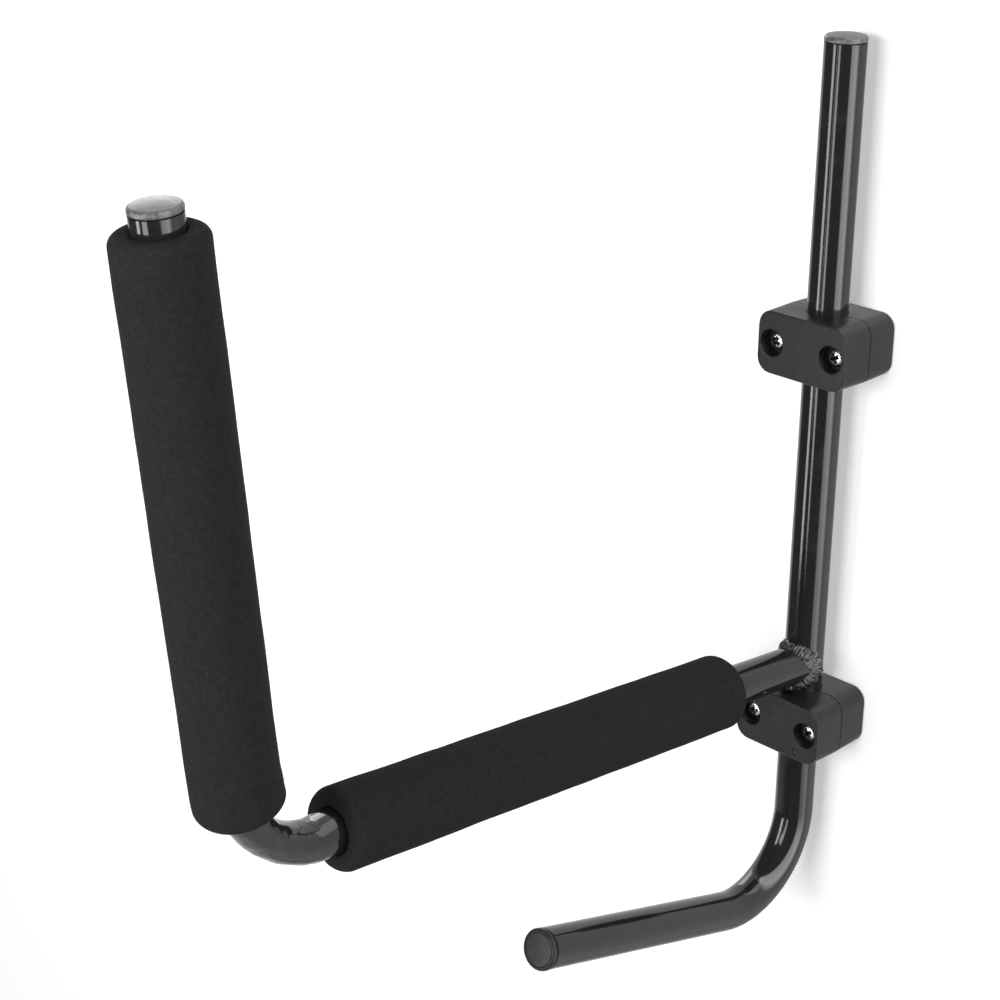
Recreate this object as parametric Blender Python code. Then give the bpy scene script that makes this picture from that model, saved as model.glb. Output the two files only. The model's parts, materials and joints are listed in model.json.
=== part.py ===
"""Kayak wall rack: a padded L-shaped arm that swings on an upright held by two split wall clamps.

Metres, +Z up. The wall is the plane y = 0, and the rack stands in front of it towards -Y.
The origin is the middle of the lower clamp's wall face.
"""

from math import cos, pi, radians, sin, sqrt, tan

import bmesh
import bpy
from mathutils import Vector

# Steel tube, from which both the upright and the arm are cut and bent.
TUBE_OD = 0.0254
TUBE_WALL = 0.0020
TUBE_SIDES = 32
BEND_STEPS = 10

# How far the tube was squeezed as its elbow was pressed round: flatter outside, most in mid bend,
# flatter inside all along the bend and fading past its ends, and wider at its sides.
ELBOW_FLATTENING_OUTSIDE = 0.0018
ELBOW_FLATTENING_INSIDE = 0.0022
ELBOW_WIDENING = 0.0010
SQUEEZE_RUNOUT = 0.0120
RUNOUT_STEPS = 2

# Clearance between pieces that sit against each other, and round the upright, which turns.
SEAT_GAP = 0.0003
SWIVEL_GAP = 0.0003

# Upright, with the foot that bends out into the lower hook.
UPRIGHT_ABOVE_CLAMP = 0.1820
FOOT_BELOW_CLAMP = 0.1425
FOOT_BEND_RADIUS = 0.0540
LEG_RISE = radians(16.5)
LEG_LENGTH = 0.2470

# Arm and post, one bent tube, welded to the upright above the lower clamp. The lengths run to the
# corner where the two middle lines would meet.
ARM_RISE = radians(5.5)
POST_LEAN = radians(5.5)
ARM_LENGTH = 0.4545
POST_LENGTH = 0.3431
ELBOW_RADIUS = 0.0540

# Weld bead round the coped end of the arm.
BEAD_LEG = 0.0049
BEAD_TOP_LEG = 0.0040
BEAD_SIDE = 0.0026
BEAD_SIDE_SETBACK = 0.0032
BEAD_RIPPLE = 0.0005
BEAD_RIPPLES = 14
BEAD_STEPS = 56
BEAD_SIDES = 10

# Foam sleeves. The arm's ends short of the elbow, and the post's is pushed onto it, where its end
# tips less than the bend turns and it stands off the inside.
FOAM_WALL = 0.0102
FOAM_EDGE_RADIUS = 0.0055
FOAM_EDGE_STEPS = 4
ARM_FOAM_FROM_UPRIGHT = 0.0830
ARM_FOAM_FROM_ELBOW = 0.0120
POST_FOAM_ONTO_ELBOW = 0.0130
POST_FOAM_FROM_END = 0.0082
POST_FOAM_END_SLANT = 0.12
POST_FOAM_STAND_OFF = 0.0012

# Split clamps, two moulded halves each, as deep as the upright and a wall before and behind it.
CLAMP_SPACING = 0.2530
CLAMP_HEIGHT = 0.0405
CLAMP_WALL = 0.0115
CLAMP_BEYOND_SCREW = 0.01105
CLAMP_SEAM = 0.0006
CLAMP_DRAFT = radians(1.0)
CLAMP_CORNER_RADIUS = 0.0095
CLAMP_CORNER_STEPS = 5
CLAMP_EDGE_RADIUS = 0.0010
CLAMP_EDGE_STEPS = 3

# Cored back of the rear halves: an outer wall, screw bosses and crossed ribs.
CORE_WALL = 0.0030
RIB_THICKNESS = 0.0026
BOSS_WALL = 0.0026

# Wall screws and the round pockets that their heads sit in.
SCREW_BESIDE_UPRIGHT = 0.0095
POCKET_DIAMETER = 0.0168
POCKET_DEPTH = 0.0085
POCKET_RIM = 0.0008
POCKET_RIM_STEPS = 3
POCKET_SIDES = 24
SHANK_DIAMETER = 0.0060
SHANK_LENGTH = 0.0750
SHANK_POINT = 0.0090
HEAD_DIAMETER = 0.0116
HEAD_HEIGHT = 0.0044
HEAD_RIM = 0.0016
HEAD_DOME_STEPS = 4
SCREW_SIDES = 20
RECESS_SPAN = 0.0066
RECESS_BAR = 0.0016
RECESS_DEPTH = 0.0026
RECESS_TAPER = 0.55

# End caps: a head on the tube's end, and a ribbed hollow stem in its bore.
CAP_OVERHANG = 0.00015
CAP_RIM = 0.0038
CAP_EDGE_RADIUS = 0.0012
CAP_EDGE_STEPS = 3
CAP_CROWN = 0.0012
CAP_CROWN_STEPS = 2
CAP_STEM_LENGTH = 0.0150
CAP_STEM_WALL = 0.0016
CAP_RIB_PROUD = 0.0008
CAP_RIB_WIDTH = 0.0020
CAP_RIBS = 3
CAP_SIDES = 24
LEG_CAP_CROWN = 0.0004
LEG_CAP_GROOVE_INSET = 0.0022
LEG_CAP_GROOVE = 0.0005

# Sizes that follow from the ones above.
TUBE_RADIUS = TUBE_OD / 2
BORE_RADIUS = TUBE_RADIUS - TUBE_WALL
FOAM_BORE_RADIUS = TUBE_RADIUS + SEAT_GAP
FOAM_RADIUS = FOAM_BORE_RADIUS + FOAM_WALL
CAP_RADIUS = TUBE_RADIUS + CAP_OVERHANG
COPE_RADIUS = TUBE_RADIUS + SEAT_GAP
SOCKET_RADIUS = (TUBE_RADIUS + SWIVEL_GAP) / cos(pi / TUBE_SIDES)
CLAMP_HALF_DEPTH = TUBE_RADIUS + SWIVEL_GAP + CLAMP_WALL
SCREW_SPACING = 2 * (TUBE_RADIUS + SCREW_BESIDE_UPRIGHT)
CLAMP_WIDTH = SCREW_SPACING + 2 * CLAMP_BEYOND_SCREW
SWIVEL_Y = -CLAMP_HALF_DEPTH
HOLE_RADIUS = SHANK_DIAMETER / 2 + SEAT_GAP
CORE_DEPTH = CLAMP_HALF_DEPTH - SOCKET_RADIUS - CORE_WALL
UPRIGHT_TOP = CLAMP_SPACING + UPRIGHT_ABOVE_CLAMP
FOOT_TURN = pi / 2 + LEG_RISE
FOOT_BEND_TANGENT = FOOT_BEND_RADIUS * tan(FOOT_TURN / 2)
ELBOW_TURN = pi / 2 - ARM_RISE - POST_LEAN
ELBOW_TANGENT = ELBOW_RADIUS * tan(ELBOW_TURN / 2)
# The weld under the arm rests on the lower clamp, which sets the arm's height.
ARM_UNDERSIDE = TUBE_RADIUS / cos(ARM_RISE) - TUBE_RADIUS * tan(ARM_RISE)
ARM_HEIGHT = CLAMP_HEIGHT / 2 + SEAT_GAP + BEAD_LEG + ARM_UNDERSIDE
ELBOW_SQUEEZE = (ELBOW_FLATTENING_OUTSIDE, ELBOW_FLATTENING_INSIDE, ELBOW_WIDENING)
SCREW_PLACES = (("left", -SCREW_SPACING / 2), ("right", SCREW_SPACING / 2))
# A cutter passes this far beyond what it cuts, and edges sharper than this angle stay crisp.
OVERCUT = 0.0020
CRISP_ANGLE = radians(32)
# Stops along a tube that are closer than this are one stop.
SAME_STOP = 1e-6


def finish(name, color, roughness, metallic):
    """A plain finish in the colour of one kind of surface."""
    material = bpy.data.materials.new(name)
    material.use_nodes = True
    shader = material.node_tree.nodes["Principled BSDF"]
    shader.inputs["Base Color"].default_value = (*color, 1.0)
    shader.inputs["Roughness"].default_value = roughness
    shader.inputs["Metallic"].default_value = metallic
    return material


def black_enamel(name):
    return finish(name, (0.012, 0.012, 0.013), 0.22, 0.0)


def black_foam(name):
    return finish(name, (0.018, 0.018, 0.019), 0.95, 0.0)


def black_moulding(name):
    return finish(name, (0.030, 0.030, 0.031), 0.45, 0.0)


def grey_black_plug(name):
    return finish(name, (0.050, 0.050, 0.052), 0.50, 0.0)


def bright_zinc(name):
    return finish(name, (0.62, 0.62, 0.60), 0.28, 1.0)


def add_empty(name, location, parent=None, tilt=0.0):
    """A point that pieces are placed from, tilted about X."""
    empty = bpy.data.objects.new(name, None)
    bpy.context.collection.objects.link(empty)
    empty.parent = parent
    empty.location = location
    empty.rotation_euler.x = tilt
    return empty


def add_piece(name, rings, material, parent=None, location=(0.0, 0.0, 0.0), tilt=0.0, closed=False):
    """A solid skinned over rings of points.

    A ring of one point ends it in a tip, a wider end ring is filled flat, and a closed piece joins its
    last ring to its first, as a pipe's bore does.
    """
    shape = bmesh.new()
    loops = [[shape.verts.new(point) for point in ring] for ring in rings]
    pairs = list(zip(loops, loops[1:]))
    if closed:
        pairs.append((loops[-1], loops[0]))
    else:
        for end in (loops[0], loops[-1]):
            if len(end) > 1:
                shape.faces.new(end)
    for first, second in pairs:
        count = max(len(first), len(second))
        for side in range(count):
            after = (side + 1) % count
            corners = [first[side % len(first)], first[after % len(first)]]
            corners += [second[after % len(second)], second[side % len(second)]]
            shape.faces.new(dict.fromkeys(corners))
    bmesh.ops.recalc_face_normals(shape, faces=shape.faces)
    mesh = bpy.data.meshes.new(name)
    shape.to_mesh(mesh)
    shape.free()
    mesh.shade_smooth()
    mesh.set_sharp_from_angle(angle=CRISP_ANGLE)
    piece = bpy.data.objects.new(name, mesh)
    bpy.context.collection.objects.link(piece)
    if material:
        mesh.materials.append(material(name))
    piece.parent = parent
    piece.location = location
    piece.rotation_euler.x = tilt
    return piece


def add_cutter(name, rings, parent=None, location=(0.0, 0.0, 0.0), tilt=0.0):
    """A solid that only shapes others, and isn't a piece itself."""
    cutter = add_piece(name, rings, None, parent, location, tilt)
    cutter.hide_render = True
    cutter.display_type = "WIRE"
    return cutter


def cut(piece, cutter):
    """Take the cutter's space out of a piece."""
    boolean = piece.modifiers.new(cutter.name, "BOOLEAN")
    boolean.operation = "DIFFERENCE"
    boolean.solver = "EXACT"
    boolean.object = cutter


def turned(profile, sides):
    """Rings about the Z axis from (radius, height) points. A radius of zero is a point on the axis."""
    rings = []
    for radius, height in profile:
        if radius == 0.0:
            rings.append([Vector((0.0, 0.0, height))])
            continue
        angles = [2.0 * pi * side / sides for side in range(sides)]
        rings.append([Vector((radius * sin(a), -radius * cos(a), height)) for a in angles])
    return rings


def quarter_round(radius, steps):
    """(sine, cosine) offsets along a rounded edge of this radius, from its start to its end."""
    angles = [0.5 * pi * step / steps for step in range(steps + 1)]
    return [(radius * sin(a), radius * cos(a)) for a in angles]


class Centreline:
    """The middle line of a tube with one bend, in its own Y-Z plane, measured from its first end.

    A heading of zero runs towards -Y, and a quarter turn of heading runs towards +Z.
    """

    def __init__(self, start, heading, before, radius, turn, after, squeeze=(0.0, 0.0, 0.0)):
        self.start = start
        self.heading = heading
        self.radius = radius
        self.bend_start = before
        self.bend_end = before + radius * turn
        self.length = self.bend_end + after
        self.squeeze = squeeze

    def at(self, distance):
        """The point and the heading there."""
        before = min(distance, self.bend_start)
        within = min(max(distance, self.bend_start), self.bend_end) - self.bend_start
        after = max(distance - self.bend_end, 0.0)
        heading = self.heading + within / self.radius
        y = self.start[0] - before * cos(self.heading) - after * cos(heading)
        z = self.start[1] + before * sin(self.heading) + after * sin(heading)
        y += self.radius * (sin(self.heading) - sin(heading))
        z += self.radius * (cos(self.heading) - cos(heading))
        return Vector((0.0, y, z)), heading

    def squeeze_shares(self, distance):
        """How much of the bend's squeeze is there, outside and inside."""
        share = (distance - self.bend_start) / (self.bend_end - self.bend_start)
        outside = sin(pi * min(max(share, 0.0), 1.0))
        beyond = max(self.bend_start - distance, distance - self.bend_end, 0.0)
        inside = 0.5 + 0.5 * cos(pi * min(beyond / SQUEEZE_RUNOUT, 1.0))
        return outside, inside

    def stops(self, first, last):
        """Where a piece along the tube needs its rings: both its ends, and the steps of the bend."""
        bend = self.bend_end - self.bend_start
        steps = [self.bend_start + bend * step / BEND_STEPS for step in range(BEND_STEPS + 1)]
        if any(self.squeeze):
            for step in range(1, RUNOUT_STEPS + 1):
                runout = SQUEEZE_RUNOUT * step / RUNOUT_STEPS
                steps += [self.bend_start - runout, self.bend_end + runout]
        inner = [step for step in sorted(steps) if first + SAME_STOP < step < last - SAME_STOP]
        return [first] + inner + [last]

    def ring(self, distance, radius, squeeze=(0.0, 0.0, 0.0), slant=0.0):
        """A ring round the tube there, squeezed by these amounts outside, inside and to the sides.

        A slant tips the ring, its outer side forward.
        """
        point, heading = self.at(distance)
        forward = Vector((0.0, -cos(heading), sin(heading)))
        outward = Vector((0.0, -sin(heading), -cos(heading)))
        sideways = Vector((1.0, 0.0, 0.0))
        outside_share, inside_share = self.squeeze_shares(distance)
        outside, inside, widening = squeeze
        ring = []
        for side in range(TUBE_SIDES):
            angle = 2.0 * pi * side / TUBE_SIDES
            flattening = outside * outside_share if cos(angle) > 0.0 else inside * inside_share
            along = (radius - flattening) * cos(angle)
            across = (radius + widening * inside_share) * sin(angle)
            ring.append(point + (outward + slant * forward) * along + sideways * across)
        return ring


def pipe(line):
    """Rings of a hollow tube: out along its skin, and back along its bore."""
    stops = line.stops(0.0, line.length)
    skin = [line.ring(stop, TUBE_RADIUS, line.squeeze) for stop in stops]
    bore = [line.ring(stop, BORE_RADIUS, line.squeeze) for stop in reversed(stops)]
    return skin + bore


def sleeve(line, first, last, stand_off=0.0, slant=0.0):
    """Rings of a foam sleeve with rounded outer edges, its bore just clear of the tube.

    On a bend it stands off the inside, and its first end tips by a slant that dies out with the bend.
    """

    def ring(stop, radius, squeeze):
        left = max(line.bend_end - stop, 0.0) / (line.bend_end - first)
        return line.ring(stop, radius, squeeze, slant * left)

    skin = (0.0, -stand_off, 0.0)
    flat = FOAM_RADIUS - FOAM_EDGE_RADIUS
    rounding = quarter_round(FOAM_EDGE_RADIUS, FOAM_EDGE_STEPS)
    rings = [ring(first + FOAM_EDGE_RADIUS - back, flat + rise, skin) for rise, back in rounding]
    for stop in line.stops(first + FOAM_EDGE_RADIUS, last - FOAM_EDGE_RADIUS)[1:-1]:
        rings.append(ring(stop, FOAM_RADIUS, skin))
    for rise, back in reversed(rounding):
        rings.append(ring(last - FOAM_EDGE_RADIUS + back, flat + rise, skin))
    for stop in reversed(line.stops(first, last)):
        rings.append(ring(stop, FOAM_BORE_RADIUS, line.squeeze))
    return rings


def rounded_rectangle(width, height, corner, y):
    """An outline in the X-Z plane with round corners, at one depth."""
    outline = []
    for quarter in range(4):
        across = 1.0 if quarter in (0, 3) else -1.0
        up = 1.0 if quarter in (0, 1) else -1.0
        for step in range(CLAMP_CORNER_STEPS + 1):
            angle = 0.5 * pi * (quarter + step / CLAMP_CORNER_STEPS)
            x = across * (width / 2 - corner) + corner * cos(angle)
            z = up * (height / 2 - corner) + corner * sin(angle)
            outline.append(Vector((x, y, z)))
    return outline


def clamp_outline(distance, inset, side):
    """The clamp's outline at a distance from the parting plane, smaller by its draft and by an inset."""
    shrink = 2.0 * (distance * tan(CLAMP_DRAFT) + inset)
    corner = CLAMP_CORNER_RADIUS - inset
    return rounded_rectangle(CLAMP_WIDTH - shrink, CLAMP_HEIGHT - shrink, corner, side * distance)


def clamp_half(side):
    """Rings of a half clamp: straight at the parting plane, drafted, and rounded at its outer face."""
    rings = [clamp_outline(CLAMP_SEAM / 2, 0.0, side)]
    round_start = CLAMP_HALF_DEPTH - CLAMP_EDGE_RADIUS
    for rise, back in quarter_round(CLAMP_EDGE_RADIUS, CLAMP_EDGE_STEPS):
        rings.append(clamp_outline(round_start + rise, CLAMP_EDGE_RADIUS - back, side))
    return rings


def screw_pocket():
    """The space that a screw needs in a clamp: shank hole, pocket for the head and its rounded rim."""
    pocket = POCKET_DIAMETER / 2
    floor = CLAMP_HALF_DEPTH - POCKET_DEPTH
    profile = [(0.0, -CLAMP_HALF_DEPTH - OVERCUT), (HOLE_RADIUS, -CLAMP_HALF_DEPTH - OVERCUT)]
    profile += [(HOLE_RADIUS, floor), (pocket, floor)]
    for rise, back in quarter_round(POCKET_RIM, POCKET_RIM_STEPS):
        profile.append((pocket + POCKET_RIM - back, CLAMP_HALF_DEPTH - POCKET_RIM + rise))
    profile += [(pocket + POCKET_RIM, CLAMP_HALF_DEPTH + OVERCUT), (0.0, CLAMP_HALF_DEPTH + OVERCUT)]
    return turned(profile, POCKET_SIDES)


def screw_body():
    """A pan-head screw with its underside at zero, its head up and its point down."""
    head = HEAD_DIAMETER / 2
    shank = SHANK_DIAMETER / 2
    dome = HEAD_HEIGHT - HEAD_RIM
    profile = [(0.0, -SHANK_LENGTH), (shank, SHANK_POINT - SHANK_LENGTH), (shank, 0.0), (head, 0.0)]
    for step in range(HEAD_DOME_STEPS):
        angle = 0.5 * pi * step / HEAD_DOME_STEPS
        profile.append((head * cos(angle), HEAD_RIM + dome * sin(angle)))
    profile.append((0.0, HEAD_HEIGHT))
    return turned(profile, SCREW_SIDES)


def cross_recess():
    """A plus-shaped driver recess that narrows towards its floor."""
    rings = []
    for height, share in ((HEAD_HEIGHT - RECESS_DEPTH, RECESS_TAPER), (HEAD_HEIGHT + OVERCUT, 1.0)):
        long = RECESS_SPAN / 2 * share
        short = RECESS_BAR / 2
        arm = [(long, -short), (long, short), (short, short)]
        ring = []
        for quarter in range(4):
            turn = 0.5 * pi * quarter
            for x, y in arm:
                ring.append(Vector((x * cos(turn) - y * sin(turn), x * sin(turn) + y * cos(turn), height)))
        rings.append(ring)
    return rings


def cap_stem():
    """The profile of a cap's hollow stem, up its inside and down its ribbed outside to the head."""
    outer = BORE_RADIUS - SEAT_GAP - CAP_RIB_PROUD
    inner = outer - CAP_STEM_WALL
    profile = [(0.0, -SEAT_GAP), (inner, -SEAT_GAP), (inner, -CAP_STEM_LENGTH), (outer, -CAP_STEM_LENGTH)]
    for rib in range(CAP_RIBS):
        middle = CAP_STEM_LENGTH * ((rib + 1) / (CAP_RIBS + 1) - 1.0)
        for offset, proud in ((-1, 0.0), (0, CAP_RIB_PROUD), (1, 0.0)):
            profile.append((outer + proud, middle + offset * CAP_RIB_WIDTH / 2))
    profile.append((outer, SEAT_GAP))
    return profile


def domed_cap():
    """Rings of an end cap with a low dome, its head starting just off the tube's end."""
    head = CAP_RADIUS
    profile = cap_stem() + [(head, SEAT_GAP)]
    top = SEAT_GAP + CAP_RIM
    for rise, back in quarter_round(CAP_EDGE_RADIUS, CAP_EDGE_STEPS):
        profile.append((head - CAP_EDGE_RADIUS + back, top - CAP_EDGE_RADIUS + rise))
    for step in range(1, CAP_CROWN_STEPS + 1):
        share = 1.0 - step / CAP_CROWN_STEPS
        profile.append(((head - CAP_EDGE_RADIUS) * share, top + CAP_CROWN * (1.0 - share**2)))
    return turned(profile, CAP_SIDES)


def grooved_cap():
    """Rings of the leg's end cap: almost flat, with a fine groove inside its edge."""
    head = CAP_RADIUS
    face = SEAT_GAP + CAP_RIM
    profile = cap_stem() + [(head, SEAT_GAP)]
    for rise, back in quarter_round(CAP_EDGE_RADIUS, CAP_EDGE_STEPS):
        profile.append((head - CAP_EDGE_RADIUS + back, face - CAP_EDGE_RADIUS + rise))
    groove = head - LEG_CAP_GROOVE_INSET
    profile += [(groove + LEG_CAP_GROOVE, face), (groove, face - LEG_CAP_GROOVE)]
    profile += [(groove - LEG_CAP_GROOVE, face), (0.0, face + LEG_CAP_CROWN)]
    return turned(profile, CAP_SIDES)


def bead_rings():
    """Rings of the weld, a rippled bead that follows the line where the arm meets the upright.

    The line is in the upright's frame, with the arm towards -Y. It stands off the upright's sides,
    where the two tubes' walls run flush and the bead is thinner.
    """
    line = []
    for step in range(BEAD_STEPS):
        angle = 2.0 * pi * step / BEAD_STEPS
        front = sqrt((TUBE_RADIUS * cos(angle)) ** 2 + BEAD_SIDE_SETBACK**2)
        up = TUBE_RADIUS * cos(angle)
        along = (up * sin(ARM_RISE) + front) / cos(ARM_RISE)
        height = along * sin(ARM_RISE) + up * cos(ARM_RISE)
        line.append(Vector((TUBE_RADIUS * sin(angle), -front, ARM_HEIGHT + height)))
    rings = []
    for step, point in enumerate(line):
        angle = 2.0 * pi * step / BEAD_STEPS
        travel = (line[(step + 1) % BEAD_STEPS] - line[step - 1]).normalized()
        outward = (point - Vector((0.0, 0.0, ARM_HEIGHT))).normalized()
        outward = (outward - travel * outward.dot(travel)).normalized()
        across = travel.cross(outward)
        leg = BEAD_TOP_LEG if cos(angle) > 0.0 else BEAD_LEG
        full = BEAD_SIDE + (leg - BEAD_SIDE) * cos(angle) ** 2
        radius = full - BEAD_RIPPLE * sin(0.5 * BEAD_RIPPLES * angle) ** 2
        ring = []
        for side in range(BEAD_SIDES):
            turn = 2.0 * pi * side / BEAD_SIDES
            ring.append(point + radius * (cos(turn) * outward + sin(turn) * across))
        rings.append(ring)
    return rings


def slab(width, height, near, far):
    """Rings of a plain block that runs from one depth to another."""
    corners = ((-1, -1), (1, -1), (1, 1), (-1, 1))
    return [[Vector((x * width / 2, y, z * height / 2)) for x, z in corners] for y in (near, far)]


def upright_line():
    """From the upright's top down to the foot, round its bend and out along the leg."""
    before = UPRIGHT_TOP + FOOT_BELOW_CLAMP - FOOT_BEND_TANGENT
    after = LEG_LENGTH - FOOT_BEND_TANGENT
    return Centreline((0.0, UPRIGHT_TOP), -pi / 2, before, FOOT_BEND_RADIUS, FOOT_TURN, after)


def arm_line():
    """From the upright's middle out along the arm, round the elbow and up the post."""
    before = ARM_LENGTH - ELBOW_TANGENT
    after = POST_LENGTH - ELBOW_TANGENT
    return Centreline((0.0, 0.0), 0.0, before, ELBOW_RADIUS, ELBOW_TURN, after, ELBOW_SQUEEZE)


def add_arm(line, arm_root, swivel):
    """The arm's tube, coped round the upright, and the weld bead that joins it there."""
    arm = add_piece("arm_tube", pipe(line), black_enamel, arm_root, closed=True)
    bead = add_piece("weld_bead", bead_rings(), black_enamel, swivel, closed=True)
    heights = (ARM_HEIGHT - TUBE_OD, ARM_HEIGHT + TUBE_OD)
    cope = add_cutter("cope_cutter", turned([(COPE_RADIUS, z) for z in heights], TUBE_SIDES), swivel)
    space = [line.ring(distance, COPE_RADIUS) for distance in (-TUBE_OD, TUBE_OD)]
    arm_space = add_cutter("arm_space_cutter", space, arm_root)
    cut(arm, cope)
    cut(bead, cope)
    cut(bead, arm_space)


def add_foams(line, arm_root):
    """The two foam sleeves on the arm's tube."""
    arm_end = line.bend_start - ARM_FOAM_FROM_ELBOW
    arm_rings = sleeve(line, ARM_FOAM_FROM_UPRIGHT, arm_end)
    add_piece("arm_foam", arm_rings, black_foam, arm_root, closed=True)
    post_start = line.bend_end - POST_FOAM_ONTO_ELBOW
    post_end = line.length - POST_FOAM_FROM_END
    post_rings = sleeve(line, post_start, post_end, POST_FOAM_STAND_OFF, POST_FOAM_END_SLANT)
    add_piece("post_foam", post_rings, black_foam, arm_root, closed=True)


def add_cap(name, rings, material, line, distance, parent):
    """An end cap on one end of a tube."""
    point, heading = line.at(distance)
    outward = heading if distance else heading + pi
    add_piece(name, rings, material, parent, point, pi / 2 - outward)


def add_clamp_halves(level, centre, socket):
    """The two moulded halves of a clamp, drilled for its screws, and the rear one cored out."""
    front = add_piece(level + "_clamp_front", clamp_half(-1.0), black_moulding, None, centre)
    rear = add_piece(level + "_clamp_rear", clamp_half(1.0), black_moulding, None, centre)
    cut(front, socket)
    cut(rear, socket)
    core_rings = [
        clamp_outline(distance, CORE_WALL, 1.0)
        for distance in (CLAMP_HALF_DEPTH - CORE_DEPTH, CLAMP_HALF_DEPTH + OVERCUT)
    ]
    core = add_cutter(level + "_core_cutter", core_rings, None, centre)
    # The ribs and bosses are what the core leaves standing.
    beyond = CLAMP_HALF_DEPTH + 2 * OVERCUT
    flat_rib = slab(CLAMP_WIDTH, RIB_THICKNESS, 0.0, beyond)
    upright_rib = slab(RIB_THICKNESS, CLAMP_HEIGHT, 0.0, beyond)
    cut(core, add_cutter(level + "_flat_rib", flat_rib, None, centre))
    cut(core, add_cutter(level + "_upright_rib", upright_rib, None, centre))
    boss_radius = HOLE_RADIUS + BOSS_WALL
    boss_rings = turned([(boss_radius, -beyond), (boss_radius, 0.0)], POCKET_SIDES)
    for hand, across in SCREW_PLACES:
        place = (across, centre[1], centre[2])
        cut(core, add_cutter(f"{level}_boss_{hand}", boss_rings, None, place, pi / 2))
        pocket = add_cutter(f"{level}_pocket_{hand}", screw_pocket(), None, place, pi / 2)
        cut(front, pocket)
        cut(rear, pocket)
    cut(rear, core)


def add_screws(level, height):
    """The two wall screws of a clamp, their heads on the floors of its pockets."""
    seat = SWIVEL_Y - CLAMP_HALF_DEPTH + POCKET_DEPTH - SEAT_GAP
    for hand, across in SCREW_PLACES:
        place = (across, seat, height)
        screw = add_piece(f"{level}_screw_{hand}", screw_body(), bright_zinc, None, place, pi / 2)
        recess = add_cutter(f"{level}_recess_{hand}", cross_recess(), None, place, pi / 2)
        cut(screw, recess)


def build():
    # The pieces that turn hang from the upright's middle line, and the arm's from where it crosses that.
    swivel = add_empty("swivel_axis", (0.0, SWIVEL_Y, 0.0))
    arm_root = add_empty("arm_root", (0.0, 0.0, ARM_HEIGHT), swivel, -ARM_RISE)
    upright = upright_line()
    arm = arm_line()
    add_piece("upright_tube", pipe(upright), black_enamel, swivel, closed=True)
    add_arm(arm, arm_root, swivel)
    add_foams(arm, arm_root)
    add_cap("upright_cap", domed_cap(), grey_black_plug, upright, 0.0, swivel)
    add_cap("post_cap", domed_cap(), grey_black_plug, arm, arm.length, arm_root)
    add_cap("leg_cap", grooved_cap(), black_moulding, upright, upright.length, swivel)

    # The clamps stay on the wall, with the upright turning in their sockets.
    reach = CLAMP_HEIGHT / 2 + OVERCUT
    heights = (-reach, CLAMP_SPACING + reach)
    socket_rings = turned([(SOCKET_RADIUS, z) for z in heights], TUBE_SIDES)
    socket = add_cutter("socket_cutter", socket_rings, None, (0.0, SWIVEL_Y, 0.0))
    for level, height in (("lower", 0.0), ("upper", CLAMP_SPACING)):
        add_clamp_halves(level, (0.0, SWIVEL_Y, height), socket)
        add_screws(level, height)


for leftover in list(bpy.data.objects):
    bpy.data.objects.remove(leftover, do_unlink=True)
build()
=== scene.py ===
import json
from math import cos, pi, radians, sin, sqrt, tan

import bmesh
import bpy
from mathutils import Matrix, Quaternion, Vector, noise


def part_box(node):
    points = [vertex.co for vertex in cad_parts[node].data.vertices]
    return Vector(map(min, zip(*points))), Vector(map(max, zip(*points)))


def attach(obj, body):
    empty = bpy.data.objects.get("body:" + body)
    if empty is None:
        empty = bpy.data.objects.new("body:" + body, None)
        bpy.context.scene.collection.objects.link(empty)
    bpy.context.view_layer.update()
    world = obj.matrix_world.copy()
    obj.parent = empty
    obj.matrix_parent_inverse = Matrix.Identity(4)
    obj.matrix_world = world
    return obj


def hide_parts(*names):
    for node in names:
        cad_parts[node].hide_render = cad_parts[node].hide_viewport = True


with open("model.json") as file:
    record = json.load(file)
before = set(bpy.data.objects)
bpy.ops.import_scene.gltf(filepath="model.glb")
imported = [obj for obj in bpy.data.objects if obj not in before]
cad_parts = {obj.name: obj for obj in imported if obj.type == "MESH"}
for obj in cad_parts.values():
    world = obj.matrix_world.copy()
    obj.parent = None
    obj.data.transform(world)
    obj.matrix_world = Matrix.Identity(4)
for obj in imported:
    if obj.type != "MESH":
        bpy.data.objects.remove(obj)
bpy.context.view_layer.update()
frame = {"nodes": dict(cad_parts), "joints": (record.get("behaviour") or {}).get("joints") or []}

# The view. The rack hangs on the wall plane y = 0 and is seen from its front right, a little from
# above, through a long lens.
CAMERA_AZIMUTH = radians(45.63)
CAMERA_ELEVATION = radians(22.54)
CAMERA_ROLL = radians(0.47)
CAMERA_PLACE = (0.75707, -1.04057, 0.66717)
CAMERA_LENS = 77.916
SENSOR_WIDTH = 36.0

lens = bpy.data.cameras.new("camera")
lens.lens = CAMERA_LENS
lens.sensor_width = SENSOR_WIDTH
camera = bpy.data.objects.new("camera", lens)
bpy.context.scene.collection.objects.link(camera)
level = cos(CAMERA_ELEVATION)
back = Vector((sin(CAMERA_AZIMUTH) * level, -cos(CAMERA_AZIMUTH) * level, sin(CAMERA_ELEVATION)))
camera.rotation_mode = "QUATERNION"
camera.rotation_quaternion = back.to_track_quat("Z", "Y") @ Quaternion((0.0, 0.0, 1.0), CAMERA_ROLL)
camera.location = CAMERA_PLACE
bpy.context.scene.camera = camera

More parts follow.
